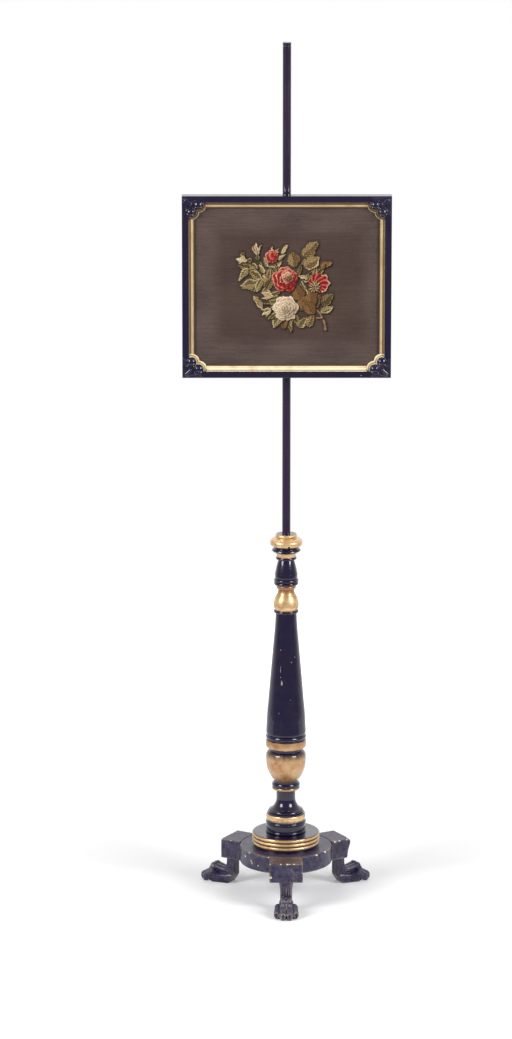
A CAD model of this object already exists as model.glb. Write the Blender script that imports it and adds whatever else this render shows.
"""Pole screen in ebonised and parcel-gilt wood with a woolwork panel.

Sizes are millimetres unless a name says otherwise, and become metres where a mesh is made.
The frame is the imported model's: origin on the floor under the column, +Z up, the screen faces -Y.
"""
import math

import bpy
import numpy as np
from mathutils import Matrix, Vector


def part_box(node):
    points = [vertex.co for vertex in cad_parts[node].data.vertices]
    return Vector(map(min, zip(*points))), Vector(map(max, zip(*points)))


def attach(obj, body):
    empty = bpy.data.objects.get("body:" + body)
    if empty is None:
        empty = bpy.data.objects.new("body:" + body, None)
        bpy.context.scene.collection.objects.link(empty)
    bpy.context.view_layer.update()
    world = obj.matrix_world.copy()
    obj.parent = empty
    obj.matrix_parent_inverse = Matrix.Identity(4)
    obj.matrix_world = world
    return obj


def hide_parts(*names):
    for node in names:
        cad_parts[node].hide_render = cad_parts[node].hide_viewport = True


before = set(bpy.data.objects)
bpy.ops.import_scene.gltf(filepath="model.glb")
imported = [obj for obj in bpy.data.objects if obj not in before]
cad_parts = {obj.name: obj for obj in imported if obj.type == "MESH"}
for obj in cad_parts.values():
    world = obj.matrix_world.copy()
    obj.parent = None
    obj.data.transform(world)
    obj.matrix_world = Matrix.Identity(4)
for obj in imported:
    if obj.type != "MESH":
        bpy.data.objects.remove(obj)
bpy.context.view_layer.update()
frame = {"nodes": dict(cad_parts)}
nodes = frame["nodes"]

MM = 0.001

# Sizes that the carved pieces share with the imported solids
BASE_R = 77.6
BASE_TOP = 83.5
BASE_H = 28.5
BLOCK_W = 56.0
BLOCK_H = 33.0
BLOCK_OUT_R = 111.0
LEG_ANGLES = {"leg_front": -90.0, "leg_left": 150.0, "leg_right": 30.0}
FRAME_W = 344.0
RAIL_FACE = 11.0
FRAME_H = 304.0
FRAME_MID_Z = 1050.0
FRAME_FRONT_Y = -35.0
PANEL_W = 311.2
PANEL_H = 271.2
CANVAS_FRONT_Y = -27.0
CANVAS_BACK_Y = -25.4

# Gold leaf on the turned column: lowest and highest point of each band above the floor, and how far its
# upper edge is worn away
GILT_BANDS = {
    "reeded_plinth": [(87.5, 107.9, 0.3)],
    "foot_drum": [(130.0, 140.0, 0.3)],
    "urn": [(183.1, 186.7, 0.3), (198.4, 249.5, 12.0)],
    "trumpet": [(255.4, 269.6, 0.3)],
    "lower_vase": [(495.2, 538.2, 0.3)],
    "pole_socket": [(586.5, 594.1, 0.3), (604.6, 625.8, 0.3)],
}
# How far the gold leaf on a piece has browned, from one height up to another
GILT_AGE = {
    "urn": ((199.0, 0.6), (212.0, 0.42)),
    "trumpet": ((256.8, 0.0), (258.6, 0.5)),
    "lower_vase": ((514.0, 0.0), (528.0, 0.75)),
}
REED_FOOT = 87.5
REED_PITCH = 6.8
REED_INNER_R = 54.5


def rgb(red, green, blue):
    """A colour given as it looks on screen, 0 to 255, as the linear colour that shaders use."""
    linear = []
    for value in (red, green, blue):
        share = value / 255.0
        linear.append(share / 12.92 if share <= 0.04045 else ((share + 0.055) / 1.055) ** 2.4)
    return (*linear, 1.0)


def toward(degrees):
    """Cosine and sine of an angle."""
    return math.cos(math.radians(degrees)), math.sin(math.radians(degrees))


# Shader building

class Value:
    """What a node gives. Plain arithmetic on it adds the nodes that work it out."""

    def __init__(self, nodes, socket):
        self.nodes = nodes
        self.socket = socket

    def __add__(self, other):
        return self.nodes.math("ADD", self, other)

    def __sub__(self, other):
        return self.nodes.math("SUBTRACT", self, other)

    def __rsub__(self, other):
        return self.nodes.math("SUBTRACT", other, self)

    def __mul__(self, other):
        return self.nodes.math("MULTIPLY", self, other)

    def __truediv__(self, other):
        return self.nodes.math("DIVIDE", self, other)

    def __lt__(self, other):
        return self.nodes.math("LESS_THAN", self, other)

    def __abs__(self):
        return self.nodes.math("ABSOLUTE", self)


class Nodes:
    """A node tree, with short calls for what the finishes, the floor and the world share."""

    def __init__(self, tree):
        self.tree = tree

    def feed(self, socket, value):
        """Links a value that nodes work out, and sets one that is a number or colour."""
        if isinstance(value, Value):
            self.tree.links.new(value.socket, socket)
        else:
            socket.default_value = value

    def new(self, kind, inputs, **settings):
        node = self.tree.nodes.new("ShaderNode" + kind)
        for key, value in settings.items():
            setattr(node, key, value)
        for key, value in inputs.items():
            self.feed(node.inputs[key], value)
        return node

    def get(self, kind, output, inputs, **settings):
        """One output of a new node, which is given its inputs by name or number."""
        return Value(self, self.new(kind, inputs, **settings).outputs[output])

    def math(self, operation, first, second=0.0, clamp=False):
        return self.get("Math", 0, {0: first, 1: second}, operation=operation, use_clamp=clamp)

    def seen_by(self, *kinds):
        """1 for rays of these kinds and 0 for all others."""
        path = self.new("LightPath", {})
        total = Value(self, path.outputs[kinds[0]])
        for kind in kinds[1:]:
            total = self.math("ADD", total, Value(self, path.outputs[kind]), clamp=True)
        return total


class Finish(Nodes):
    """A material, with its surface shader and patterns in the object's own coordinates."""

    def __init__(self, name):
        self.material = bpy.data.materials.new(name)
        self.material.use_nodes = True
        super().__init__(self.material.node_tree)
        self.shader = self.tree.nodes["Principled BSDF"]
        self.place = self.get("TexCoord", "Object", {})

    def set(self, **values):
        """Sets or links sockets of the surface shader, such as base_color or roughness."""
        for key, value in values.items():
            name = key.replace("_", " ").title().replace("Ior", "IOR")
            self.feed(self.shader.inputs[name], value)

    def mix(self, share, first, second, blend="MIX"):
        inputs = {0: share, 6: first, 7: second}
        return self.get("Mix", 2, inputs, data_type="RGBA", blend_type=blend)

    def axis(self, letter):
        return self.get("SeparateXYZ", letter, {0: self.place})

    def stretched(self, *scale):
        """The object's coordinates in metres, times these."""
        return self.get("VectorMath", 0, {0: self.place, 1: scale}, operation="MULTIPLY")

    def length(self, vector):
        return self.get("VectorMath", "Value", {0: vector}, operation="LENGTH")

    def noise(self, scale, detail=3.0, roughness=0.55, vector=None, distortion=0.0):
        inputs = {"Vector": vector or self.place, "Scale": scale, "Detail": detail, "Roughness": roughness}
        return self.get("TexNoise", "Fac", {**inputs, "Distortion": distortion})

    def ramp(self, share, *stops):
        """Blends between grey levels, each stop a place and a level."""
        node = self.new("ValToRGB", {0: share})
        elements = node.color_ramp.elements
        while len(elements) < len(stops):
            elements.new(0.5)
        for element, (place, level) in zip(elements, stops):
            element.position = place
            element.color = (level, level, level, 1.0)
        return Value(self, node.outputs[0])

    def step(self, share, low, high):
        """0 below low, 1 above high, and a slope between."""
        return self.ramp(share, (low, 0.0), (high, 1.0))

    def attribute(self, name, output):
        return self.get("Attribute", output, {}, attribute_name=name)

    def specks(self, scale, chance, size):
        """A mask of small round flecks: one cell in so many holds a fleck of that share of the cell."""
        cell = self.new("TexVoronoi", {"Vector": self.place, "Scale": scale}, feature="F1")
        colour = Value(self, cell.outputs["Color"])
        picked, reach = (self.get("SeparateColor", index, {0: colour}) for index in (0, 1))
        return (picked < chance) * (Value(self, cell.outputs["Distance"]) < reach * size)

    def bump(self, height, distance_mm, strength):
        inputs = {"Height": height, "Distance": distance_mm * MM, "Strength": strength}
        self.set(normal=self.get("Bump", 0, inputs))


BLACK_DEEP = rgb(12, 8, 48)
BLACK_WARM = rgb(30, 15, 42)
BLACK_BROWN = rgb(48, 30, 58)
BLACK_DUSTY = rgb(76, 70, 100)
BLACK_RUBBED = rgb(70, 56, 52)
RUBBED_PALE = rgb(150, 140, 128)
RUBBED_BROWN = rgb(96, 74, 56)
FLECK = rgb(176, 166, 150)
GESSO = rgb(222, 212, 190)
GESSO_DIRTY = rgb(160, 150, 148)
GOLD_PALE = rgb(255, 240, 200)
GOLD_CREAM = rgb(250, 230, 184)
GOLD_LIGHT = rgb(248, 220, 170)
GOLD_MID = rgb(214, 164, 104)
GOLD_WORN = rgb(148, 90, 48)
GOLD_SHADE = rgb(84, 54, 28)
BOLE = rgb(64, 28, 20)
WHITE = (1.0, 1.0, 1.0, 1.0)


def black_colour(f, rub):
    """Ebonised colour: near black with a violet cast, mottled, browner where rubbed."""
    mottle = f.noise(38.0, 4.0, 0.6)
    streaks = f.noise(90.0, 3.0, 0.6, f.stretched(1.0, 1.0, 0.12))
    base = f.mix(f.step(mottle, 0.35, 0.75), BLACK_DEEP, BLACK_WARM)
    base = f.mix(f.step(streaks, 0.55, 0.8) * 0.35, base, BLACK_WARM)
    return f.mix(rub, base, BLACK_RUBBED)


def gilt_colour(f, tone):
    """Gold leaf over red bole, mottled and rubbed. Gives its colour and how far it is worn."""
    mottle = f.noise(55.0, 5.0, 0.62)
    fine = f.noise(420.0, 3.0, 0.6)
    leaf = f.mix(f.step(mottle, 0.3, 0.72), GOLD_MID, GOLD_LIGHT)
    worn = f.step(f.noise(80.0, 6.0, 0.68), 0.5, 0.74) * tone
    bare = f.step(fine, 0.66, 0.72) * f.step(mottle, 0.5, 0.62)
    return f.mix(bare, f.mix(worn, leaf, GOLD_WORN), BOLE), worn


def lacquer(f, roughness, coat=0.85, coat_roughness=0.05):
    """The gloss that all the black pieces share, thinner and duller where they are worn."""
    f.set(roughness=roughness, specular_ior_level=0.25)
    f.set(coat_weight=coat, coat_roughness=coat_roughness)


def black_paint(f):
    """Colour and roughness of polished ebonised wood, with few tiny pale chips."""
    rub = f.step(f.noise(24.0, 5.0, 0.65), 0.6, 0.82) * 0.3
    colour = f.mix(f.specks(90.0, 0.035, 0.12), black_colour(f, rub), GESSO)
    return colour, f.ramp(f.noise(60.0, 4.0), (0.3, 0.16), (0.75, 0.34))


def ebony(name, tint):
    """Glossy ebonised wood, browner by a share where the black has faded."""
    f = Finish(name)
    colour, roughness = black_paint(f)
    faded = f.step(f.noise(30.0, 4.0, 0.6, f.stretched(1.0, 1.0, 0.15)), 0.2, 0.6) * tint
    f.set(base_color=f.mix(faded, colour, BLACK_BROWN))
    lacquer(f, roughness)
    f.bump(f.noise(170.0, 4.0, 0.6, f.stretched(1.0, 1.0, 0.2)), 0.1, 0.3)
    return f.material


def carved_ebony(name, rubbed, gloss):
    """Ebonised carving: rubbed pale on the ridges, dusty on the flats, chipped to the white ground."""
    f = Finish(name)
    grain = f.noise(120.0, 5.0, 0.65)
    patchy = f.step(f.noise(22.0, 3.0, 0.6), 0.42, 0.66)
    ragged = f.attribute("wear", "Fac") + (grain - 0.5) * 0.55
    ridge = f.step(ragged, 0.5, 0.88) * patchy * rubbed
    scuffed = f.step(f.noise(46.0, 6.0, 0.7), 0.5, 0.72) * (0.7 * rubbed)
    dusty = f.ramp(f.noise(110.0, 7.0, 0.75), (0.4, 0.05), (0.62, 1.0)) * rubbed
    colour = f.mix(dusty, black_colour(f, scuffed), BLACK_DUSTY)
    colour = f.mix(ridge, colour, RUBBED_PALE)
    colour = f.mix(front_rub(f) * rubbed, colour, RUBBED_BROWN)
    colour = f.mix(f.specks(170.0, 0.11, 0.22) * rubbed, colour, FLECK)
    chipped = f.attribute("chip", "Fac") + (f.noise(300.0) - 0.5) * 0.6
    f.set(base_color=f.mix(f.step(chipped, 0.5, 0.62), colour, GESSO))
    roughness = f.ramp(ragged, (0.2, gloss + 0.2), (0.55, gloss), (0.9, gloss + 0.15))
    lacquer(f, roughness, 0.85 - 0.6 * rubbed, 0.05 + 0.25 * rubbed)
    f.bump(grain, 0.2, 0.35)
    return f.material


def front_rub(f):
    """Where hands and feet have rubbed the top of the base brown, at its front."""
    high = f.step(f.axis("Z"), 0.0815, 0.0826)
    forward = f.step(f.axis("Y") * -1.0, 0.056, 0.078)
    aside = 1.0 - f.step(abs(f.axis("X")), 0.024, 0.052)
    mottled = f.step(f.noise(60.0, 5.0, 0.7), 0.3, 0.62)
    return high * forward * (aside * mottled)


def slip_inward(f, node):
    """How far a place on the slip lies inward of its outer edge, in millimetres."""
    u = FRAME_W / 2 - abs(f.axis("X")) * (1 / MM)
    v = FRAME_H / 2 - abs(f.axis("Z") - FRAME_MID_Z * MM) * (1 / MM)
    if node in ("slip_left", "slip_right"):
        return u - RAIL_FACE
    if node in ("slip_top", "slip_bottom"):
        return v - RAIL_FACE
    ways = []
    for middle_u, middle_v in ((SCROLL_FAR, SCROLL_NEAR), (SCROLL_NEAR, SCROLL_FAR)):
        off_u = u - middle_u
        off_v = v - middle_v
        ways.append(f.math("SQRT", off_u * off_u + off_v * off_v))
    return f.math("MINIMUM", *ways) - SCROLL_R


# Share of old brown toning at places inward over the slip, in millimetres
SLIP_TONING = [(0.0, 0.6), (0.8, 0.75), (3.8, 0.88), (4.6, 0.0), (7.2, 0.0), (7.9, 0.92)]
SLIP_TONING_ABOVE = [(0.0, 0.8), (0.8, 0.88), (4.2, 0.85), (5.0, 0.15), (6.8, 0.25), (7.4, 0.92)]
SLIP_TONING_BELOW = [(0.0, 0.1), (1.0, 0.1), (1.6, 0.7), (2.4, 0.6), (3.0, 0.0), (8.2, 0.0), (8.8, 0.9)]
SLIP_SPAN = 10.0


def gilt(node):
    """Water gilding on the slip: a bright bead between old toning, palest at the screen's foot."""
    f = Finish("gold_leaf_" + node)
    below = "bottom" in node
    stops = SLIP_TONING_BELOW if below else SLIP_TONING
    if node == "slip_top":
        stops = SLIP_TONING_ABOVE
    colour, worn = gilt_colour(f, 0.4)
    bright = f.step(f.noise(40.0, 3.0), 0.2, 0.5) * (1.0 if below else 0.8)
    colour = f.mix(bright, colour, GOLD_PALE if below else GOLD_CREAM)
    inward = slip_inward(f, node) / SLIP_SPAN
    toned = f.ramp(inward, *[(place / SLIP_SPAN, share) for place, share in stops])
    f.set(base_color=f.mix(toned, colour, GOLD_SHADE), metallic=0.05 if below else 0.35)
    f.set(roughness=f.ramp(worn, (0.0, 0.28), (1.0, 0.5)))
    f.bump(f.noise(260.0, 4.0, 0.6), 0.1, 0.35)
    return f.material


def gilt_mask(f, node):
    """1 on the gilded bands of a turned piece and 0 between them, with ragged edges."""
    low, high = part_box(node)
    span = high.z - low.z
    stops = [(0.0, 0.0)]
    for bottom, top, worn in GILT_BANDS[node]:
        for height, level in ((bottom - 0.15, 0.0), (bottom + 0.15, 1.0), (top - worn, 1.0), (top, 0.0)):
            place = (height * MM - low.z) / span
            stops.append((min(max(place, 0.0), 1.0), level))
    mask = f.ramp((f.axis("Z") - low.z) / span, *stops)
    mask = mask + (f.noise(190.0, 4.0, 0.65) - 0.5) * 0.9
    mask = f.step(mask, 0.1, 0.9) if node == "urn" else f.step(mask, 0.42, 0.6)
    if node == "reeded_plinth":
        radius = f.length(f.stretched(1.0, 1.0, 0.0))
        mask = mask * f.math("GREATER_THAN", radius, REED_INNER_R * MM)
    return mask


def reed_grooves(f):
    """Old toning in the grooves between the reeds."""
    height = (f.axis("Z") - REED_FOOT * MM) / (REED_PITCH * MM)
    return f.step(abs(f.math("FRACT", height) - 0.5), 0.2, 0.42) * 0.9


def spot(f, x, z, half_w, half_h):
    """A mask of one drop-shaped chip on the front of a turned piece, narrower towards its top."""
    up = (f.axis("Z") - z * MM) / (half_h * MM)
    across = (f.axis("X") - x * MM) / (half_w * MM) * (up * 0.5 + 1.15)
    ragged = across * across + up * up + f.noise(700.0, 3.0) * 0.8
    return (ragged < 1.4) * (f.axis("Y") < 0.0)


# Chips on the front of the column: place across and up, half width, half height
TRUMPET_CHIPS = [
    (-7.3, 374, 1.5, 4.0), (-8.9, 383.5, 0.7, 0.9), (-9.3, 397, 0.4, 5.5), (-9.1, 430, 0.6, 1.1),
    (14.6, 417, 0.6, 0.9), (8.8, 409, 1.2, 0.6), (7.0, 345, 0.6, 0.6), (-12.0, 322, 0.5, 0.8),
]
SOCKET_CHIP = (4.4, 607.6, 2.6, 2.0)


def parcel_gilt(node):
    """Ebonised turning with its gilded bands."""
    f = Finish("parcel_gilt_" + node)
    gold = gilt_mask(f, node)
    leaf, worn = gilt_colour(f, 0.75)
    if node in GILT_AGE:
        (low_z, low_age), (high_z, high_age) = GILT_AGE[node]
        share = f.math("DIVIDE", f.axis("Z") - low_z * MM, (high_z - low_z) * MM, clamp=True)
        leaf = f.mix(f.ramp(share, (0.0, low_age), (1.0, high_age)), leaf, GOLD_WORN)
    if node == "reeded_plinth":
        leaf = f.mix(reed_grooves(f), leaf, GOLD_SHADE)
    black, black_rough = black_paint(f)
    if node == "trumpet":
        for chip in TRUMPET_CHIPS:
            black = f.mix(spot(f, *chip), black, GESSO_DIRTY)
    if node == "pole_socket":
        leaf = f.mix(spot(f, *SOCKET_CHIP), leaf, BOLE)
    f.set(base_color=f.mix(gold, black, leaf), metallic=gold * 0.6)
    lacquer(f, f.mix(gold, black_rough, f.ramp(worn, (0.0, 0.38), (1.0, 0.6))))
    f.bump(f.noise(220.0, 4.0, 0.6), 0.1, 0.3)
    return f.material


def woolwork():
    """Tent stitches in wool: colour by stitch, each stitch a small slanted ridge."""
    f = Finish("woolwork")
    across, up = (f.math("FRACT", f.axis(letter) * (1.0 / (STITCH * MM))) for letter in "XZ")
    off = abs(across - up)
    ridge = f.math("SUBTRACT", 1.0, off * off, clamp=True)
    shade = f.ramp(ridge, (0.1, 0.7), (0.8, 1.0))
    f.set(base_color=f.mix(1.0, f.attribute("stitch", "Color"), shade, "MULTIPLY"))
    f.set(roughness=0.85, specular_ior_level=0.2)
    f.set(sheen_weight=0.08, sheen_roughness=0.5, sheen_tint=rgb(220, 205, 190))
    f.bump(ridge + f.noise(1800.0, 2.0, 0.6) * 0.35, 0.5, 0.7)
    return f.material


def raw_wood(name, light, dark):
    """Plain unpolished wood with its grain across the screen."""
    f = Finish(name)
    along = f.stretched(0.06, 1.0, 1.0)
    grain = f.noise(160.0, 6.0, 0.6, along, 0.6)
    pores = f.step(f.noise(700.0, 2.0, 0.5, along), 0.6, 0.7) * 0.5
    f.set(base_color=f.mix(pores, f.mix(f.step(grain, 0.32, 0.7), light, dark), dark))
    f.set(roughness=f.ramp(grain, (0.3, 0.6), (0.7, 0.75)), specular_ior_level=0.3)
    f.bump(grain, 0.25, 0.5)
    return f.material


def metal(name, bright, dull, rough):
    """Hand-worked metal with tarnish in blotches and fine scratches."""
    f = Finish(name)
    tarnish = f.step(f.noise(130.0, 5.0, 0.65), 0.4, 0.7)
    f.set(base_color=f.mix(tarnish, bright, dull), metallic=1.0)
    f.set(roughness=f.ramp(tarnish, (0.0, rough), (1.0, rough + 0.25)))
    f.bump(f.noise(600.0, 3.0, 0.6), 0.05, 0.5)
    return f.material


def show(name, data):
    """An object with this mesh, light or camera, placed in the scene."""
    thing = bpy.data.objects.new(name, data)
    bpy.context.scene.collection.objects.link(thing)
    return thing


# Carving: signed distances on a grid, negative inside, turned into a mesh

# Bites of a chip: where each lies from its middle and its radius, as shares of the chip's radius
NICK_BITES = [((0.0, 0.0, 0.0), 0.8), ((0.7, 0.9, -0.8), 0.55), ((-0.8, -1.0, 0.6), 0.4)]
# How bends are found: the depth that counts, the grid steps to both sides, and how strongly they show
BEND_DEPTH = 4.0
BEND_STEPS = 2
BEND_STRENGTH = 0.42


class Carving:
    """A solid held as signed distances on a grid, to which shapes are added and from which they are cut."""

    def __init__(self, low, high, step):
        self.low = np.array(low, float)
        self.step = step
        axes = [np.arange(a, b + step, step) for a, b in zip(low, high)]
        self.points = np.stack(np.meshgrid(*axes, indexing="ij"), -1)
        self.field = np.full(self.points.shape[:3], 1e3)
        self.chip = np.zeros(self.points.shape[:3])

    def window(self, low, high):
        """The part of the grid that covers a box."""
        first = np.maximum(np.floor((np.array(low) - self.low) / self.step).astype(int), 0)
        last = np.ceil((np.array(high) - self.low) / self.step).astype(int) + 1
        return tuple(slice(a, max(b, a)) for a, b in zip(first, last))

    def merge(self, shape, reach, soft=0.0, cut=False):
        """Joins or cuts a shape, given as a function of points, within the box that it reaches."""
        part = self.window(*reach)
        here = self.field[part]
        there = shape(self.points[part])
        if cut:
            self.field[part] = -soft_least(-here, there, soft)
        else:
            self.field[part] = soft_least(here, there, soft)

    def rod(self, start, end, start_r, end_r, soft=0.0, cut=False):
        reach = max(start_r, end_r) + soft + 3 * self.step
        box = (np.minimum(start, end) - reach, np.maximum(start, end) + reach)
        self.merge(lambda p: rod_distance(p, start, end, start_r, end_r), box, soft, cut)

    def ball(self, centre, radius, soft=0.0, cut=False):
        self.rod(centre, centre, radius, radius, soft, cut)

    def nick(self, centre, radius):
        """A broken-out chip of a few shallow bites, which shows the ground under the black."""
        for shift, share in NICK_BITES:
            middle = np.array(centre, float) + radius * np.array(shift)
            reach = radius + 3 * self.step
            part = self.window(middle - reach, middle + reach)
            gap = np.linalg.norm(self.points[part] - middle, axis=-1) - radius * share
            self.field[part] = np.maximum(self.field[part], -gap)
            self.chip[part] = np.maximum(self.chip[part], np.clip(1.0 - gap / self.step, 0.0, 1.0))

    def mesh(self, name, place):
        """The surface as an object. place turns grid points into points in the frame, in millimetres."""
        corners, quads = surface_net(self.field)
        spots = self.low + corners * self.step
        wear = curvature(self.field, self.step)
        made = bpy.data.meshes.new(name)
        made.from_pydata((place(spots) * MM).tolist(), [], quads.tolist())
        for label, values in (("wear", wear), ("chip", self.chip)):
            layer = made.attributes.new(label, "FLOAT", "POINT")
            layer.data.foreach_set("value", sample(values, corners).astype(np.float32))
        made.polygons.foreach_set("use_smooth", np.ones(len(quads), bool))
        made.update()
        return show(name, made)


def soft_least(first, second, soft):
    """The lesser of two distances, with the corner between them rounded over soft."""
    if soft <= 0.0:
        return np.minimum(first, second)
    share = np.clip(0.5 + 0.5 * (second - first) / soft, 0.0, 1.0)
    return second * (1 - share) + first * share - soft * share * (1 - share)


def rod_distance(points, start, end, start_r, end_r):
    """Distance to a round-ended rod that tapers from one radius to the other."""
    start = np.array(start, float)
    along = np.array(end, float) - start
    length = float(along @ along)
    offset = points - start
    share = np.zeros(points.shape[:3]) if length == 0 else np.clip(offset @ along / length, 0.0, 1.0)
    nearest = offset - share[..., None] * along
    return np.linalg.norm(nearest, axis=-1) - (start_r + share * (end_r - start_r))


def rounded(gaps, rounding):
    """Distance to a shape with rounded edges, from how far points lie out beyond each of its sides."""
    return np.linalg.norm(np.maximum(gaps, 0.0), axis=-1) + np.minimum(gaps.max(axis=-1), 0.0) - rounding


def box_distance(points, low, high, rounding):
    low, high = np.array(low, float) + rounding, np.array(high, float) - rounding
    return rounded(np.maximum(low - points, points - high), rounding)


def disc_distance(points, radius, low, high, rounding):
    """Distance to an upright disc between two heights."""
    out = np.hypot(points[..., 0], points[..., 1]) - (radius - rounding)
    up = np.abs(points[..., 2] - (low + high) / 2) - ((high - low) / 2 - rounding)
    return rounded(np.stack([out, up], -1), rounding)


def surface_net(field):
    """A corner in each grid cell that the surface crosses, and a quad for each grid edge that it crosses."""
    cells = np.array(field.shape) - 1
    total = np.zeros((*cells, 3))
    count = np.zeros(cells)
    for axis in range(3):
        for start in np.ndindex(2, 2, 2):
            if start[axis]:
                continue
            end = tuple(v + (i == axis) for i, v in enumerate(start))
            a, b = (field[tuple(slice(o, o + n) for o, n in zip(spot, cells))] for spot in (start, end))
            crossed = (a < 0) != (b < 0)
            spot = np.zeros((*cells, 3)) + start
            spot[..., axis] += a / np.where(a == b, 1.0, a - b)
            total[crossed] += spot[crossed]
            count += crossed
    used = count > 0
    index = np.full(tuple(cells), -1)
    index[used] = np.arange(used.sum())
    corners = np.stack(np.nonzero(used), -1) + total[used] / count[used][:, None]
    return corners, net_quads(field < 0, index)


def net_quads(inside, index):
    """Four corners round each grid edge that the surface crosses, in an order that faces outward."""
    quads = []
    for axis in range(3):
        along = [slice(0, -1), slice(1, None)]
        near, far = (inside[tuple(run if i == axis else slice(1, -1) for i in range(3))] for run in along)
        for leaving in (True, False):
            spots = np.stack(np.nonzero((near != far) & (near == leaving)), -1) + (np.arange(3) != axis)
            ring = []
            for du, dv in ((-1, -1), (0, -1), (0, 0), (-1, 0)):
                cell = spots.copy()
                cell[:, (axis + 1) % 3] += du
                cell[:, (axis + 2) % 3] += dv
                ring.append(index[tuple(cell.T)])
            ring = np.stack(ring, -1)
            quads.append(ring if leaving else ring[:, ::-1])
    return np.concatenate(quads)


def smoothed(values, axis):
    """Each value blended with those on both sides of it."""
    return (np.roll(values, 1, axis) + 2 * values + np.roll(values, -1, axis)) / 4


def curvature(field, step):
    """0 in hollows, 0.5 on flats and 1 on ridges, from how the distances bend, smoothed a little."""
    bend = np.zeros_like(field)
    clipped = np.clip(field, -BEND_DEPTH, BEND_DEPTH)
    for axis in range(3):
        ahead = np.roll(clipped, -BEND_STEPS, axis)
        behind = np.roll(clipped, BEND_STEPS, axis)
        bend += ahead + behind - 2 * clipped
    bend = bend / (BEND_STEPS * step)
    for axis in range(3):
        bend = smoothed(bend, axis)
    return np.clip(0.5 + BEND_STRENGTH * bend, 0.0, 1.0)


def sample(values, corners):
    """Values at places between grid points."""
    first = np.minimum(corners.astype(int), np.array(values.shape) - 2)
    share = corners - first
    total = np.zeros(len(corners))
    for offset in np.ndindex(2, 2, 2):
        weight = np.prod(np.abs(1 - np.array(offset) - share), axis=1)
        total += weight * values[tuple((first + offset).T)]
    return total


# Legs: a square block with a hairy animal's paw under it, in x outward, y across, z up

ANKLE_W = 20.0
ANKLE_D = 15.0
HEEL_RUN = 11.0
HEEL_Z = 15.0
HEEL_HALF_W = 10.0
SOLE_SPREAD = 0.18
SOLE_LOW = (98.0, -20.0, -4.0)
SOLE_HIGH = (138.0, 20.0, 14.0)
BLOCK_ROUND = 0.9
NICKS_PER_LEG = 7
LEG_STEP = 0.7
LEG_SEED = 5
BROKEN_LEG = "leg_right"
PAD = ((100, -11, -3), (146, 11, 15))
# The leg's grid, and the box that each step of its carving reaches
LEG_GRID = ((74, -31, -2), (166, 31, 86))
ANKLE_REACH = ((90, -14, 0), (115, 14, 56))
HEEL_REACH = ((70, -40, -10), (170, 40, 60))
BLOCK_REACH = ((70, -30, 48), (114, 30, 86))
FLOOR_REACH = ((60, -40, -10), (170, 40, 2))
DISC_REACH = ((60, -40, 40), (90, 40, 90))
PAD_REACH = ((95, -14, -5), (150, 14, 20))
SOLE_REACH = ((90, -24, -8), (146, 24, 20))
# Lines of the toes on one side of the paw: points out, across and up, each with its radius
INNER_TOE = [((108, 4, 23), 5.8), ((119, 4.2, 21), 5.8), ((137.5, 5, 25), 6.6), ((142, 5, 14.5), 7.0),
             ((155.6, 5.3, 7.2), 7.1)]
OUTER_TOE = [((112, 5.2, 11), 6.2), ((124, 8, 10), 6.2), ((137, 13, 15.8), 6.4), ((148.2, 14.2, 7), 6.7)]
# Tips of the toes with their radii, and middles of the nails
TOE_TIPS = [((157, 5.4, 4.6), 5.6), ((149, 14.2, 4.6), 5.4)]
NAILS = [(162.9, 5.5, 6.5), (154.0, 17.2, 6.2)]
# Grooves between and behind the toes of one side, and between the sides: two ends, their radii, softness
TOE_GROOVES = [
    ((130, 9.6, 22.5), (158, 10.8, 3), 1.5, 2.5, 0.6),
    ((125, 17.5, 14), (133, 20, 2), 1.8, 2.4, 1.0),
]
MIDDLE_GROOVE = ((144, 0, 22), (163.5, 0, 3), 1.0, 2.1, 0.5)
# What a broken block has lost: rods, each with its two ends and the radius at each
BREAKS = [((119, -40, 45), (118, 12, 45), 16.5, 12.0), ((165, -40, 50), (165, 20, 50), 60.0, 58.0),
          ((115.5, -34, 88.5), (114.5, -14, 89), 10.0, 7.0)]
# Locks of hair at the foot of the hump, from its middle outwards
FRINGE = [0.0, 4.4, 8.6, 12.6]


def carve_leg(seed, knocks, broken):
    """One leg. A broken one has lost the outer edges of its block."""
    leg = Carving(*LEG_GRID, LEG_STEP)
    ankle_low = (BLOCK_OUT_R - ANKLE_D, -ANKLE_W / 2, 4.0)
    ankle_high = (BLOCK_OUT_R, ANKLE_W / 2, BASE_TOP - BLOCK_H + 2)
    leg.merge(lambda p: box_distance(p, ankle_low, ankle_high, 2.6), ANKLE_REACH)
    paw(leg)
    fur(leg)
    heel_x, heel_length = BLOCK_OUT_R - ANKLE_D, math.hypot(HEEL_RUN, HEEL_Z)

    def behind_heel(p):
        return -((heel_x - p[..., 0]) * HEEL_Z + (HEEL_Z - p[..., 2]) * HEEL_RUN) / heel_length

    leg.merge(behind_heel, HEEL_REACH, 1.5, True)
    block_low = (70.0, -BLOCK_W / 2, BASE_TOP - BLOCK_H)
    block_high = (BLOCK_OUT_R, BLOCK_W / 2, BASE_TOP)

    def block(p):
        gap = box_distance(p, block_low, block_high, BLOCK_ROUND)
        for lost in BREAKS if broken else []:
            gap = np.maximum(gap, -rod_distance(p, *lost))
        return gap

    leg.merge(block, BLOCK_REACH, 1.2)
    leg.merge(lambda p: p[..., 2], FLOOR_REACH, 0.0, True)
    leg.merge(lambda p: np.hypot(p[..., 0], p[..., 1]) - BASE_R, DISC_REACH, 0.0, True)
    chance = np.random.RandomState(seed)
    for _ in range(NICKS_PER_LEG):
        leg.nick(block_edge_point(chance), 0.5 + 0.9 * chance.rand() ** 2)
    for spot, radius in knocks:
        leg.nick(spot, radius)
    return leg


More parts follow.
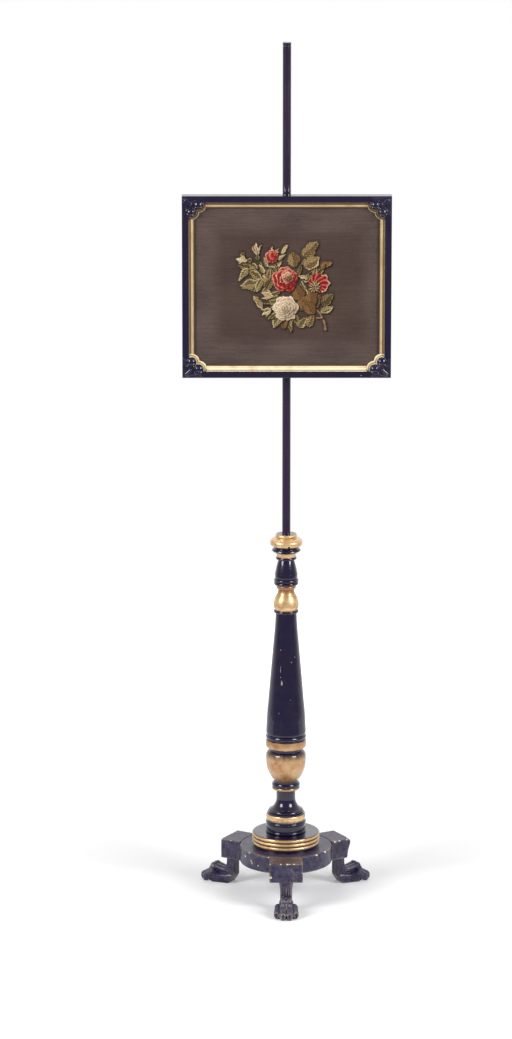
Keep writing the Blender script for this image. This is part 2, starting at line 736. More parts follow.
def block_edge_point(chance):
    """A random place on the block's outer edges, where it has been knocked."""
    across = (chance.rand() - 0.5) * BLOCK_W
    out = BLOCK_OUT_R - 30 * chance.rand()
    side = BLOCK_W / 2 * (1 if chance.rand() < 0.5 else -1)
    top = BASE_TOP if chance.rand() < 0.7 else BASE_TOP - BLOCK_H
    rise = BASE_TOP - BLOCK_H * chance.rand()
    return [(BLOCK_OUT_R, across, top), (out, side, top), (BLOCK_OUT_R, side, rise)][chance.randint(3)]


def sole(p):
    """Distance to the back of the foot, whose flat sides spread from the heel to the toes."""
    side = np.abs(p[..., 1]) - (HEEL_HALF_W + SOLE_SPREAD * (p[..., 0] - SOLE_LOW[0]))
    return -soft_least(-side, -box_distance(p, SOLE_LOW, SOLE_HIGH, 3.0), 3.0)


def paw(leg):
    """Sole, hump and four blunt toes, with a dished nail on the nose of each."""
    leg.merge(lambda p: box_distance(p, *PAD, 4.0), PAD_REACH, 3.0)
    leg.merge(sole, SOLE_REACH, 3.0)
    for side in (-1, 1):
        across = np.array((1, side, 1))
        for line in (OUTER_TOE, INNER_TOE):
            for (start, start_r), (end, end_r) in zip(line, line[1:]):
                leg.rod(across * start, across * end, start_r, end_r, 1.1)
        for tip, radius in TOE_TIPS:
            leg.ball(across * tip, radius, 0.8)
        for start, end, *sizes in TOE_GROOVES:
            leg.rod(across * start, across * end, *sizes, True)
    leg.rod(*MIDDLE_GROOVE, True)
    for side in (-1, 1):
        for out, aside, up in NAILS:
            leg.rod((out, side * aside, up + 2.0), (out + 1.6, side * aside, up - 3.5), 2.9, 2.9, 0.3, True)


def fur(leg):
    """Locks of hair: ridges down the hump, a zigzag fringe at its foot, and locks down the ankle."""
    for place in (-1, 0, 1):
        leg.rod((135, 5.6 * place, 30.6), (146.4, 5.0 * place, 21.5), 1.9, 1.5, 0.5)
    for aside in FRINGE:
        for side in (-1, 1):
            back = 0.5 * max(aside - 8, 0)
            root = (144.5 - 2 * back, side * aside, 20.5 - back)
            leg.rod(root, (151 - 2.2 * back, side * aside * 1.03, 14.8 - back), 1.9, 0.7, 0.3)
    for side in (-1, 1):
        leg.rod((104.5, side * 8.2, 50), (105, side * 6.4, 33), 3.8, 3.0, 1.5)
    for index, place in enumerate((-1, -0.5, 0, 0.5, 1)):
        root = (BLOCK_OUT_R - 2.6, 6.6 * place, 46)
        point = (BLOCK_OUT_R + 2.2 - 2 * abs(place), 7.6 * place, 29 - 3 * (index % 2))
        leg.rod(root, point, 2.3, 1.0, 0.5)


def turned_about_column(angle):
    """Turns points from a leg's own x, y, z to its place round the column."""
    cos, sin = toward(angle)

    def place(spots):
        x, y, z = spots.T
        return np.stack([x * cos - y * sin, x * sin + y * cos, z], -1)

    return place


# Larger chips on the blocks' edges, in each leg's own x, y, z, with their radii
LEG_KNOCKS = {
    "leg_front": [
        ((111, -9, 83.5), 1.5), ((111, 2, 83.5), 1.9), ((111, 13, 83.5), 1.3), ((111, -26, 60), 2.2),
    ],
    "leg_left": [((110, 28, 83.5), 1.6), ((92, 28, 83.5), 1.4)],
    "leg_right": [((81, -28, 83.5), 3.2), ((89, -28, 83.5), 2.2), ((104, -28, 83.5), 1.8)],
}


def make_legs(material):
    for seed, (name, angle) in enumerate(LEG_ANGLES.items()):
        leg = carve_leg(LEG_SEED + seed, LEG_KNOCKS[name], name == BROKEN_LEG)
        piece = leg.mesh("carved_" + name, turned_about_column(angle))
        piece.data.materials.append(material)
        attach(piece, "stand")
        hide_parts(name)


BASE_STEP = 0.9
BASE_NICKS = 15
BASE_SEED = 11
BASE_LOW = BASE_TOP - BASE_H
BASE_GRID = ((-80, -80, BASE_LOW - 2), (80, 80, BASE_TOP + 2))
BASE_REACH = ((-80, -80, 0), (80, 80, 100))
# Larger chips on the disc's side and rim, with their radii
BASE_KNOCKS = [
    ((-68.5, -36.5, 74), 1.9), ((-59, -50.4, 70), 1.8), ((-57.5, -52.1, 66.5), 1.6),
    ((-47, -61.7, 65), 1.2), ((66, -41, 83.5), 2.6), ((51, -58.5, 83.5), 2.2), ((-30, -71.5, 83.5), 1.6),
]


def make_base(material):
    """The round block between the legs, with knocked edges."""
    base = Carving(*BASE_GRID, BASE_STEP)
    base.merge(lambda p: disc_distance(p, BASE_R, BASE_LOW, BASE_TOP, 1.6), BASE_REACH)
    chance = np.random.RandomState(BASE_SEED)
    for _ in range(BASE_NICKS):
        angle = 2 * math.pi * chance.rand()
        edge = BASE_TOP if chance.rand() < 0.75 else BASE_LOW
        spot = (BASE_R * math.cos(angle), BASE_R * math.sin(angle), edge)
        base.nick(spot, 0.6 + 1.2 * chance.rand() ** 3)
    for spot, radius in BASE_KNOCKS:
        base.nick(spot, radius)
    piece = base.mesh("worn_base", lambda spots: spots)
    piece.data.materials.append(material)
    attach(piece, "stand")
    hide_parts("base_plinth")


# Corner carvings, in u and v from the frame's corner along its two sides, and w out of its face

CORNER_STEP = 0.32
CORNER_SIZE = 42.0
SCROLL_R = 8.3
KNOB_R = 8.2
KNOB_DEPTH = 4.6
VOLUTE_TURNS = 0.9
VOLUTE_START = 225
VOLUTE_PIECES = 40
SCROLL_FAR = 27.0
SCROLL_NEAR = 15.0
SEAT_D = 7.8
SEAT_REACH = ((-5, -5, -12), (CORNER_SIZE + 5, CORNER_SIZE + 5, -7))


def carve_corner():
    carving = Carving((-0.5, -0.5, -9.0), (CORNER_SIZE, CORNER_SIZE, 6.0), CORNER_STEP)
    for turn, (u, v) in ((1, (SCROLL_FAR, SCROLL_NEAR)), (-1, (SCROLL_NEAR, SCROLL_FAR))):
        scroll(carving, u, v, turn)
    leaf(carving)
    carving.merge(lambda p: p[..., 2] + SEAT_D, SEAT_REACH, 0.0, True)
    return carving


def scroll(carving, u, v, turn):
    """A domed knob with a raised volute that winds in over it."""
    def drum(p):
        flat = np.hypot(p[..., 0] - u, p[..., 1] - v) - (SCROLL_R - 0.4)
        return np.maximum(flat, np.maximum(p[..., 2] - 0.2, -p[..., 2] - SEAT_D - 2))

    carving.merge(drum, ((u - 10, v - 10, -10), (u + 10, v + 10, 2)))
    carving.ball((u, v, -KNOB_DEPTH), KNOB_R)
    spots = []
    for index in range(VOLUTE_PIECES + 1):
        share = index / VOLUTE_PIECES
        radius = (SCROLL_R - 0.8) * (1 - 0.3 * share)
        angle = math.radians(VOLUTE_START) + turn * 2 * math.pi * VOLUTE_TURNS * share
        lift = 0.4 + 1.6 * share
        middle = (u + radius * math.cos(angle), v + radius * math.sin(angle), lift)
        spots.append((middle, 1.5 - 0.7 * share))
    for (first, first_r), (second, second_r) in zip(spots, spots[1:]):
        carving.rod(first, second, first_r, second_r, 0.15)


# The leaf's ground: its margin, its reach across both sides together, and half its thickness
LEAF_MARGIN = 1.2
LEAF_ACROSS = 36.0
LEAF_HALF_D = 0.35
# Lobes of the leaf: root, end and the radius at each
LEAF_LOBES = [
    ((14.0, 14.0), (7.0, 7.0), 3.0, 4.2),
    ((20.0, 7.4), (9.6, 5.6), 2.2, 3.4),
    ((7.4, 20.0), (5.6, 9.6), 2.2, 3.4),
]


def leaf(carving):
    """A lobed leaf that fills the corner behind the scrolls, with a shallow vein down each lobe."""
    def ground(p):
        edge = np.maximum(LEAF_MARGIN - p[..., 0], LEAF_MARGIN - p[..., 1])
        far = p[..., 0] + p[..., 1] - LEAF_ACROSS
        return np.maximum(np.maximum(edge, far), np.abs(p[..., 2]) - LEAF_HALF_D)

    carving.merge(ground, ((0, 0, -2), (34, 34, 2)))
    for (u, v), (end_u, end_v), root_r, end_r in LEAF_LOBES:
        carving.rod((u, v, 0.6), (end_u, end_v, -1.0), root_r, end_r, 0.3)
    for (u, v), (end_u, end_v), root_r, end_r in LEAF_LOBES:
        near = (0.7 * u + 0.3 * end_u, 0.7 * v + 0.3 * end_v, root_r + 0.7)
        carving.rod(near, (end_u, end_v, end_r - 1.0), 0.4, 0.5, 0.6, True)
    carving.ball((20.0, 20.0, 0.6), 2.6, 0.2)


def at_corner(side_x, side_z):
    """Moves points from a corner's own u, v, w to its place on the frame."""
    def place(spots):
        u, v, w = spots.T
        x = side_x * (FRAME_W / 2 - u)
        z = FRAME_MID_Z + side_z * (FRAME_H / 2 - v)
        return np.stack([x, FRAME_FRONT_Y - w, z], -1)

    return place


def make_corners(material):
    carving = carve_corner()
    for up, side_z in (("top", 1), ("bottom", -1)):
        for way, side_x in (("left", -1), ("right", 1)):
            node = f"corner_{up}_{way}"
            piece = carving.mesh("carved_" + node, at_corner(side_x, side_z))
            if side_x * side_z > 0:
                piece.data.flip_normals()
            piece.data.materials.append(material)
            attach(piece, "screen")
            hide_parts(node)


# Woolwork panel: a bouquet in tent stitch, raised a little from its ground

def wool(red, green, blue):
    """A colour given as it looks on screen, 0 to 255, as an array of its linear parts."""
    return np.array(rgb(red, green, blue)[:3])


STITCH = 1.2
STITCHES_ACROSS = round(PANEL_W / STITCH)
STITCHES_UP = round(PANEL_H / STITCH)
# Waves that make the drawing uneven, as handwork is, and how far each moves it
HAND_WAVES = 5
HAND_DRIFT = 0.4
DRIFT_SEED, STREAK_SEED, SHADE_SEED = 20, 21, 22
# The darker middle of the ground, and the lengths of its worn streaks in stitches
DARK_X, DARK_HALF_W, DARK_HALF_H = 7, 123.0, 93.0
STREAKS = (9, 23, 61)
# Dark stitches that a shape leaves on what lies under it: rows and columns away, and how dark
UNDERLINES = [(-2, 2, 0.6), (-1, 1, 0.9), (-1, 0, 0.7), (0, 1, 0.7)]
# The share of that darkness between the petals of one flower
INNER_SHADOW = 0.4
GROUND = wool(80, 63, 57)
GROUND_EDGE = wool(91, 76, 71)
GROUND_DARK = wool(60, 46, 42)
OUTLINE = wool(24, 16, 12)
CREAM = (wool(136, 110, 72), wool(188, 164, 118), wool(228, 210, 168))
OLIVE = (wool(48, 37, 22), wool(92, 74, 43), wool(178, 154, 104))
KHAKI = (wool(58, 45, 27), wool(108, 88, 51), wool(206, 184, 136))
RUSSET = (wool(76, 50, 28), wool(114, 80, 44), wool(154, 116, 72))
BROWN = (wool(70, 51, 29), wool(116, 90, 50), wool(206, 180, 132))
RED = (wool(84, 12, 18), wool(166, 32, 34), wool(220, 160, 130))
PALE_ROSE = (wool(124, 95, 74), wool(198, 171, 142), wool(234, 214, 182))
BLUSH = (wool(110, 70, 52), wool(174, 130, 102), wool(224, 196, 160))
STALK = (wool(84, 62, 40), wool(132, 104, 72), wool(176, 146, 108))


class Needle:
    """A grid of stitches, each with a colour and a height above the ground."""

    def __init__(self):
        across = (np.arange(STITCHES_ACROSS) + 0.5) / STITCHES_ACROSS - 0.5
        up = (np.arange(STITCHES_UP) + 0.5) / STITCHES_UP - 0.5
        x, z = np.meshgrid(across * PANEL_W, up * PANEL_H)
        chance = np.random.RandomState(DRIFT_SEED)
        self.x, self.z = x.copy(), z.copy()
        for _ in range(HAND_WAVES):
            for drifted in (self.x, self.z):
                turn, phase = 2 * math.pi * chance.rand(2)
                pitch = 8.0 + 14.0 * chance.rand()
                along = x * math.cos(turn) + z * math.sin(turn)
                drifted += HAND_DRIFT * np.sin(along * 2 * math.pi / pitch + phase)
        self.colour = np.zeros((STITCHES_UP, STITCHES_ACROSS, 3))
        self.height = np.zeros((STITCHES_UP, STITCHES_ACROSS))

    def local(self, x, z, angle):
        """Stitch places seen from a point, along and across a direction in degrees."""
        cos, sin = toward(angle)
        along = (self.x - x) * cos + (self.z - z) * sin
        aside = -(self.x - x) * sin + (self.z - z) * cos
        return along, aside

    def fill(self, mask, light, palette, height, shadow=1.0):
        """Colours stitches by a level from 0 to 1 in a palette of dark, middle and light, over a shadow."""
        for rows, columns, share in UNDERLINES:
            under = np.roll(mask, (rows, columns), (0, 1)) & ~mask
            share = share * shadow
            self.colour[under] = self.colour[under] * (1 - share) + OUTLINE * share
        dark, middle, pale = palette
        level = np.clip(light, 0.0, 1.0)[..., None]
        shade = dark + (middle - dark) * np.clip(level * 2, 0, 1)
        shade = shade + (pale - middle) * np.clip(level * 2 - 1, 0, 1)
        self.colour[mask] = shade[mask]
        self.height[mask] = np.maximum(self.height[mask], height[mask])

    def leaf(self, x, z, angle, length, width, palette, rim=0.5):
        """A toothed leaf, one half lighter than the other, with a pale rim along one side."""
        along, aside = self.local(x, z, angle)
        share = along / length + 0.5
        swell = np.sin(np.pi * np.clip(share, 0, 1) ** 0.8) ** 0.8
        half = width / 2 * swell * (0.92 + 0.14 * np.abs(np.sin(along * 0.75)))
        body = (share > 0) & (share < 1) & (np.abs(aside) < half)
        level = np.where(aside > 0, 0.58, 0.34) + 0.16 * np.sin((along - np.abs(aside)) * 1.5)
        level = level + 0.16 * np.sin(along * 2.7 + aside + x)
        level = np.where(np.abs(aside) < 0.6, 0.75 if rim > 0.55 else 0.1, level)
        level = np.where(aside < 1.8 - half, level + rim, level)
        lift = 0.3 + 0.7 * np.sqrt(np.clip(1 - (aside / np.maximum(half, 0.1)) ** 2, 0, 1))
        self.fill(body, level, palette, lift)

    def bloom(self, x, z, heart_x, heart_z, rim, depth, rings):
        """Scalloped rings of petals from the outside in, each dark where the next lies over it."""
        outer = rings[0][0]
        for index, (reach, lobes, turn, palette) in enumerate(rings):
            share = 1.0 - reach / outer
            off_x = self.x - (x + (heart_x - x) * share)
            off_z = self.z - (z + (heart_z - z) * share)
            around = np.arctan2(off_z, off_x)
            scallop = np.abs(np.cos(lobes / 2 * (around - math.radians(turn))))
            edge = reach * (0.82 + 0.18 * scallop ** 0.6)
            out = np.hypot(off_x, off_z) / edge
            within = rings[index + 1][0] / reach if index + 1 < len(rings) else 0.0
            level = 0.74 - depth * (1 - np.clip((out - 0.9 * within) / (1 - 0.9 * within), 0, 1))
            level = level - 0.45 * depth * np.exp(-(scallop / 0.22) ** 2)
            level = level + 0.1 * np.sin(around * 13 + 2 * index)
            lit = level + rim * (0.25 + 0.75 * np.cos(around - 2.4))
            level = np.where(out * edge > edge - 1.5, lit, level)
            rise = 0.6 + 0.6 * share + 0.4 * np.clip(out, 0, 1)
            self.fill(out < 1, level, palette, rise, INNER_SHADOW if index else 1.0)

    def half_bloom(self, x, z, radius):
        """A flower seen from the side: red petals swept round a striped pale heart."""
        off_x, off_z = self.x - x, self.z - z
        around = np.arctan2(off_z, off_x)
        edge = radius * (0.9 + 0.1 * np.abs(np.cos(4 * around)))
        out = np.hypot(off_x, off_z)
        eye_x, eye_z = off_x + 0.42 * radius, off_z + 0.34 * radius
        eye = np.hypot(eye_x, eye_z) / radius
        ray = np.sin(11 * np.arctan2(eye_z, eye_x))
        level = 0.4 + 0.3 * np.sin(15 * np.arctan2(eye_z, eye_x) + 5 * eye)
        level = np.where((out > edge - 1.8) & (off_x > 0.2 * radius), 1.0, level)
        rise = 0.6 + 0.9 * np.sqrt(np.clip(1 - (out / edge) ** 2, 0, 1))
        self.fill(out < edge, level, RED, rise)
        self.fill((eye < 0.44 + 0.1 * ray) & (out < edge + 1), 0.35 + 0.6 * ray, KHAKI, rise)

    def bud(self, x, z, angle, length, width, palette):
        """A closed flower in long thin sepals."""
        cos, sin = toward(angle)
        self.leaf(x, z, angle, length, width, palette, 0.6)
        for lean in (-28, 24):
            reach = 0.42 * length
            way_x, way_z = toward(angle + lean)
            foot_x, foot_z = x - 0.45 * length * cos, z - 0.45 * length * sin
            middle = (foot_x + reach * way_x, foot_z + reach * way_z)
            self.leaf(*middle, angle + lean, 0.8 * length, 0.15 * length, CREAM, 0.3)
        self.leaf(x - 0.6 * length * cos, z - 0.6 * length * sin, angle, 0.4 * length, 0.36 * length, OLIVE)

    def stem(self, points, width, palette):
        for (x0, z0), (x1, z1) in zip(points, points[1:]):
            length = math.hypot(x1 - x0, z1 - z0)
            along, aside = self.local(x0, z0, math.degrees(math.atan2(z1 - z0, x1 - x0)))
            near = (along > -width / 2) & (along < length + width / 2) & (np.abs(aside) < width / 2)
            self.fill(near, 0.5 - 0.8 * aside / width, palette, np.full_like(along, 0.5))

    def halo(self):
        """Takes the drawing off again, and leaves dark stitches where it was and close round it."""
        near = self.height > 0
        for _ in range(3):
            for axis in (0, 1):
                near = near | np.roll(near, 1, axis) | np.roll(near, -1, axis)
        self.height[:] = 0.0
        self.ground()
        self.colour[near] = 0.76 * self.colour[near] + 0.24 * OUTLINE

    def ground(self):
        """Brown wool, darker in the middle, with faintly worn rows."""
        chance = np.random.RandomState(STREAK_SEED)
        edge = np.maximum(np.abs(self.x - DARK_X) / DARK_HALF_W, np.abs(self.z) / DARK_HALF_H)
        middle = np.clip((1.06 - edge) * 6, 0, 1)[..., None]
        base = GROUND_EDGE + (GROUND - GROUND_EDGE) * middle
        dark = np.zeros((STITCHES_UP, STITCHES_ACROSS))
        for run in STREAKS:
            count = STITCHES_ACROSS // run + 2
            streaks = np.repeat(chance.rand(STITCHES_UP, count), run, axis=1)
            dark += np.roll(streaks, chance.randint(run), 1)[:, run:run + STITCHES_ACROSS]
        blotch = np.sin(self.x / 17 + 1) * np.sin(self.z / 13) + np.sin(self.x / 29 - self.z / 23)
        share = np.clip(0.65 * (dark / 3 - 0.5) + 0.14 * blotch + 0.12, -0.25, 1)[..., None]
        self.colour[:] = base + (GROUND_DARK - base) * share

    def finish(self):
        """Gives each stitch its own small change of shade, and softens the relief."""
        chance = np.random.RandomState(SHADE_SEED)
        spread = (0.16 + 0.2 * (self.height > 0))[..., None]
        self.colour *= 1 + spread * (chance.rand(STITCHES_UP, STITCHES_ACROSS, 1) - 0.5)
        for axis in (0, 1):
            self.height = smoothed(self.height, axis)


# Stems: points across and up from the panel's middle, width and colours
STEMS = [
    ([(43, -28), (56, -47), (62, -60), (65, -72)], 3.2, STALK),
    ([(58, -52), (50, -53)], 2.0, STALK),
    ([(-20, 16), (-40, 30), (-56, 40)], 1.8, OLIVE),
    ([(18, 14), (24, 34), (30, 52)], 1.8, KHAKI),
    ([(24, 10), (38, 24), (46, 32)], 1.8, KHAKI),
    ([(-36, 24), (-46, 44), (-49, 54)], 1.6, KHAKI),
    ([(24, 8), (31, -2), (33, -10)], 2.0, CREAM),
    ([(-12, -20), (-26, -28), (-40, -30)], 1.8, OLIVE),
    ([(52, -14), (50, -26), (46, -36)], 1.8, OLIVE),
]

# Leaves: middle, direction, length, width, colours and how pale the rim is
LEAVES = [
    (-68, 33, 172, 24, 12, OLIVE, 0.5), (-57, 36, 148, 20, 10, KHAKI, 0.5),
    (-58, 26, 164, 20, 11, OLIVE, 0.6), (-71, 21, 236, 24, 12, KHAKI, 0.6),
    (-44, 12, 200, 22, 12, OLIVE, 0.4), (-51, 19, 140, 26, 14, KHAKI, 0.5),
    (-62, 3, 188, 30, 18, KHAKI, 0.6), (-52, -3, 212, 18, 10, OLIVE, 0.5),
    (-45, 4, 250, 26, 13, KHAKI, 0.6), (-38, -7, 232, 16, 8, OLIVE, 0.6),
    (-34, 41, 112, 16, 7, KHAKI, 0.6), (-23, 29, 140, 18, 9, KHAKI, 0.5),
    (-18, 35, 120, 16, 8, OLIVE, 0.4), (-31, 20, 70, 22, 12, BROWN, 0.5),
    (-36, 12, 104, 16, 8, BROWN, 0.6), (-30, 3, 250, 22, 14, OLIVE, 0.3),
    (-41, 30, 120, 18, 7, KHAKI, 0.7), (-73, 53, 100, 12, 8, OLIVE, 0.2),
    (20, 26, 72, 22, 8, OLIVE, 0.3), (11, 46, 98, 26, 20, BROWN, 0.1),
    (39, 63, 46, 36, 19, BROWN, 0.1), (46, 25, 80, 16, 9, BROWN, 0.4),
    (41, 41, 30, 30, 21, BROWN, 1.0), (56, 27, 40, 14, 8, OLIVE, 0.5),
    (64, 37, 12, 20, 11, RUSSET, 0.7), (60, 33, 250, 12, 6, RUSSET, 0.5),
    (34, 14, 30, 18, 8, BROWN, 0.5), (27, 16, 160, 15, 7, CREAM, 0.0),
    (24, -2, 122, 18, 9, OLIVE, 0.3), (46, -8, 80, 18, 9, BROWN, 0.2),
    (66, -21, 40, 26, 18, OLIVE, 0.3), (66, -38, 24, 22, 11, KHAKI, 0.7),
    (51, -24, 70, 22, 10, OLIVE, 0.2), (14, -53, 300, 20, 11, OLIVE, 0.4),
    (26, -59, 50, 22, 13, KHAKI, 0.5), (39, -56, 74, 22, 13, BROWN, 0.3),
    (5, -63, 280, 26, 11, KHAKI, 0.4), (-4, -61, 262, 20, 12, RUSSET, 0.2),
    (-16, -58, 240, 24, 14, KHAKI, 0.6), (-25, -50, 222, 16, 8, OLIVE, 0.5),
    (-22, -26, 172, 20, 9, KHAKI, 0.5), (-19, -11, 204, 18, 8, OLIVE, 0.5),
    (-46, -27, 302, 28, 10, KHAKI, 0.7), (-3, 63, 52, 18, 6, CREAM, 0.3),
    (-8, 51, 30, 14, 5, CREAM, 0.0), (-12, 38, 50, 12, 6, KHAKI, 0.6),
    (18, -9, 108, 27, 21, RUSSET, 0.0), (29, -27, 60, 30, 20, RUSSET, 0.0),
    (40, -18, 96, 32, 19, RUSSET, 0.0), (36, -34, 130, 30, 18, RUSSET, 0.0),
]

# Buds: middle, direction, length, width and colours
BUDS = [
    (-50, 62, 96, 22, 9, BLUSH),
    (-73, 45, 176, 20, 9, CREAM),
    (-31, -14, 162, 24, 10, BLUSH),
    (-33, -42, 212, 20, 10, CREAM),
]

# Roses: rings of petals from the outside in, each with its reach, number of petals, turn and colours
RED_ROSE = [
    (21.5, 5, 20, RED), (17.0, 4, 60, RED), (12.4, 4, 110, RED),
    (9.8, 4, 70, BLUSH), (7.0, 3, 20, RED), (4.6, 3, 60, KHAKI),
]
WHITE_ROSE = [
    (21.5, 6, 0, PALE_ROSE), (17.6, 5, 25, PALE_ROSE), (13.6, 5, 70, PALE_ROSE),
    (9.8, 4, 15, PALE_ROSE), (6.4, 4, 50, PALE_ROSE), (3.2, 3, 0, PALE_ROSE),
]
RED_BUD = [(11.0, 5, 90, RED), (6.4, 3, 30, RED)]
RED_BUD_X, RED_BUD_Z = -25, 51
# Sepals round the red bud: direction and length
SEPALS = [(50, 20), (82, 15), (295, 14), (340, 15), (390, 14)]


def stitch_bouquet():
    work = Needle()
    work.ground()
    for drawing in (True, False):
        draw_bouquet(work)
        if drawing:
            work.halo()
    work.finish()
    return work


def draw_bouquet(work):
    for stem in STEMS:
        work.stem(*stem)
    for leaf_values in LEAVES:
        work.leaf(*leaf_values)
    for bud_values in BUDS:
        work.bud(*bud_values)
    for angle, reach in SEPALS:
        way_x, way_z = toward(angle)
        work.leaf(RED_BUD_X + 9 * way_x, RED_BUD_Z + 9 * way_z, angle, reach, 3.4, CREAM, 0.2)
    work.bloom(RED_BUD_X, RED_BUD_Z, -23, 54, 0.25, 0.5, RED_BUD)
    work.half_bloom(53, 6, 17)
    work.bloom(-2, -36, -8, -35, 0.45, 0.5, WHITE_ROSE)
    work.bloom(-3, 12, 4, 18, 0.45, 0.62, RED_ROSE)


def make_needlework(material):
    """A closed cloth slab: the stitched face, its edge and its back."""
    work = stitch_bouquet()
    across = np.linspace(-PANEL_W / 2, PANEL_W / 2, STITCHES_ACROSS + 1)
    up = np.linspace(-PANEL_H / 2, PANEL_H / 2, STITCHES_UP + 1) + FRAME_MID_Z
    x, z = np.meshgrid(across, up)
    padded = np.pad(work.height, 1)
    lift = (padded[:-1, :-1] + padded[1:, :-1] + padded[:-1, 1:] + padded[1:, 1:]) / 4
    front = np.stack([x, CANVAS_FRONT_Y - lift, z], -1).reshape(-1, 3)
    index = np.arange(len(front)).reshape(x.shape)
    stitches = np.stack([index[:-1, :-1], index[:-1, 1:], index[1:, 1:], index[1:, :-1]], -1).reshape(-1, 4)
    rim = np.concatenate([index[0], index[1:, -1], index[-1, -2::-1], index[-2:0:-1, 0]])
    back = front[rim].copy()
    back[:, 1] = CANVAS_BACK_Y
    hem = len(front) + np.arange(len(rim))
    edge = np.stack([np.roll(rim, -1), rim, hem, np.roll(hem, -1)], -1)
    faces = [*stitches.tolist(), *edge.tolist(), hem[::-1].tolist()]
    made = bpy.data.meshes.new("needlework_panel")
    made.from_pydata((np.concatenate([front, back]) * MM).tolist(), [], faces)
    layer = made.color_attributes.new("stitch", "FLOAT_COLOR", "CORNER")
    colours = np.ones((len(made.loops), 4), np.float32)
    colours[:, :3] = GROUND
    colours[:stitches.size, :3] = np.repeat(work.colour.reshape(-1, 3), 4, axis=0)
    layer.data.foreach_set("color", colours.reshape(-1))
    smooth = np.ones(len(made.polygons), bool)
    smooth[len(stitches):] = False
    made.polygons.foreach_set("use_smooth", smooth)
    made.update()
    piece = show("needlework_panel", made)
    piece.data.materials.append(material)
    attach(piece, "screen")
    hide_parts("needlework")


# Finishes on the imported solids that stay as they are

def dress_nodes():
    black = ebony("ebonised_wood", 0.1)
    deal = raw_wood("deal", rgb(196, 160, 110), rgb(158, 118, 74))
    brass = metal("old_brass", rgb(186, 146, 82), rgb(112, 82, 44), 0.28)
    iron = metal("old_iron", rgb(92, 86, 80), rgb(58, 48, 42), 0.45)
    finishes = {
        "pole": ebony("faded_ebonised_wood", 0.9),
        "upper_vase": black,
        "tenon_wedge": deal,
        "back_board": raw_wood("stained_board", rgb(84, 60, 40), rgb(54, 38, 26)),
        "leg_screws": iron,
        "back_pins": iron,
    }
    for node in ("eye_screws", "upper_eye", "lower_eye", "thumbscrew"):
        finishes[node] = brass
    for side in ("top", "bottom", "left", "right"):
        finishes["frame_" + side] = black
        finishes["slip_" + side] = gilt("slip_" + side)
        finishes["strainer_" + side] = deal
    for up in ("top", "bottom"):
        for way in ("left", "right"):
            node = f"slip_corner_{up}_{way}"
            finishes[node] = gilt(node)
    for node in GILT_BANDS:
        finishes[node] = parcel_gilt(node)
    for node, material in finishes.items():
        slots = nodes[node].data.materials
        slots.clear()
        slots.append(material)


# Camera, light and floor

CAMERA_PLACE = (-0.0505, -8.0, 2.6)
CAMERA_LENS = 171.13
CAMERA_DOWN = 13.70
# Lamps: degrees round from the front and up, metres off, width, height, watts, and the height they aim at
LAMPS = {
    "key_left": (-54.0, 24.0, 3.4, 1.3, 1.6, 86.0, 0.7),
    "key_right": (54.0, 24.0, 3.4, 1.3, 1.6, 86.0, 0.7),
    "rear_fill": (180.0, 50.0, 4.0, 2.5, 2.0, 30.0, 0.8),
}
WORLD_LIGHT = 0.27
# How bright the room in front of the screen looks in polished pieces, and where it gives way to the white
ROOM = 0.28
ROOM_FROM, ROOM_TO = -0.2, 0.95
FLOOR_R = 1.6
FLOOR_BACK = 0.5
FLOOR_SIDES = 128
FLOOR_PALE = (0.82, 0.82, 0.83, 1.0)
# White added to the floor where it is looked at, and the share of it that polished pieces mirror, each at
# places out from the middle as shares of this many metres
FLOOR_SPAN = 2.0
FLOOR_BOOST = [(0.16, 0.235), (0.4, 0.42), (0.55, 0.67), (0.9, 0.9)]
FLOOR_MIRRORED = [(0.2, 1.0), (0.5, 0.0)]
MIRRORS = ("Is Glossy Ray", "Is Transmission Ray")


def make_camera():
    data = bpy.data.cameras.new("camera")
    data.lens = CAMERA_LENS
    data.sensor_width = 36.0
    camera = show("camera", data)
    camera.location = CAMERA_PLACE
    camera.rotation_euler = (math.radians(90.0 - CAMERA_DOWN), 0.0, 0.0)
    bpy.context.scene.camera = camera


def softbox(name, azimuth, elevation, distance, width, height, watts, aim_z):
    """A flat rectangular light that looks at a point on the column's axis."""
    data = bpy.data.lights.new(name, "AREA")
    data.shape = "RECTANGLE"
    data.size = width
    data.size_y = height
    data.energy = watts
    light = show(name, data)
    front, aside = toward(azimuth)
    level, up = toward(elevation)
    offset = Vector((aside * level, -front * level, up))
    light.location = Vector((0.0, 0.0, aim_z)) + offset * distance
    light.rotation_euler = (-offset).to_track_quat("-Z", "Y").to_euler()


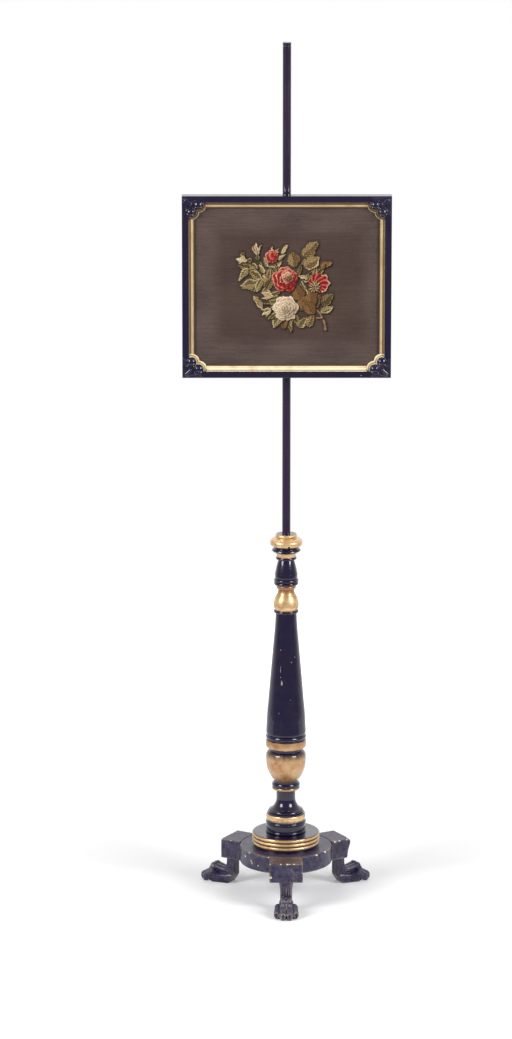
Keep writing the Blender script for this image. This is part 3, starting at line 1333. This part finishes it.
def make_world():
    """Even light, and a white background where it is looked at. Polished pieces mirror that background too,
    with the dimmer room on the side that the screen faces."""
    world = bpy.data.worlds.new("studio")
    bpy.context.scene.world = world
    world.use_nodes = True
    n = Nodes(world.node_tree)
    lighting = n.tree.nodes["Background"]
    lighting.inputs["Color"].default_value = WHITE
    lighting.inputs["Strength"].default_value = WORLD_LIGHT
    way = n.get("TexCoord", "Generated", {})
    back = n.get("SeparateXYZ", "Y", {0: way})
    steps = {"From Min": ROOM_FROM, "From Max": ROOM_TO, "To Min": ROOM, "To Max": 1.0}
    level = n.get("MapRange", 0, {"Value": back, **steps})
    mirrored = n.get("Background", 0, {"Color": WHITE, "Strength": level})
    white = n.get("Background", 0, {"Color": WHITE, "Strength": 1.0})
    shown = Value(n, lighting.outputs[0])
    for kinds, other in ((MIRRORS, mirrored), (("Is Camera Ray",), white)):
        shown = n.get("MixShader", 0, {0: n.seen_by(*kinds), 1: shown, 2: other})
    n.feed(n.tree.nodes["World Output"].inputs[0], shown)


def make_floor():
    """A round of pale paper, whose own white is topped up only where it is looked at, more so further off."""
    turns = [2 * math.pi * index / FLOOR_SIDES for index in range(FLOOR_SIDES)]
    rim = [(FLOOR_R * math.cos(turn), FLOOR_BACK + FLOOR_R * math.sin(turn), 0.0) for turn in turns]
    made = bpy.data.meshes.new("floor")
    made.from_pydata(rim, [], [list(range(FLOOR_SIDES))])
    floor = show("floor", made)
    f = Finish("paper_floor")
    f.set(base_color=FLOOR_PALE, roughness=0.9, specular_ior_level=0.1, emission_color=WHITE)
    share = f.length(f.place) / FLOOR_SPAN
    mirrored = f.seen_by(*MIRRORS) * f.ramp(share, *FLOOR_MIRRORED)
    f.set(emission_strength=(f.seen_by("Is Camera Ray") + mirrored) * f.ramp(share, *FLOOR_BOOST))
    made.materials.append(f.material)


make_camera()
for lamp, settings in LAMPS.items():
    softbox(lamp, *settings)
make_world()
make_floor()
bpy.context.scene.view_settings.view_transform = "Standard"

worn_black = carved_ebony("worn_ebonised_wood", 0.8, 0.36)
make_legs(worn_black)
make_base(worn_black)
make_corners(carved_ebony("carved_ebonised_wood", 0.1, 0.1))
make_needlework(woolwork())
dress_nodes()
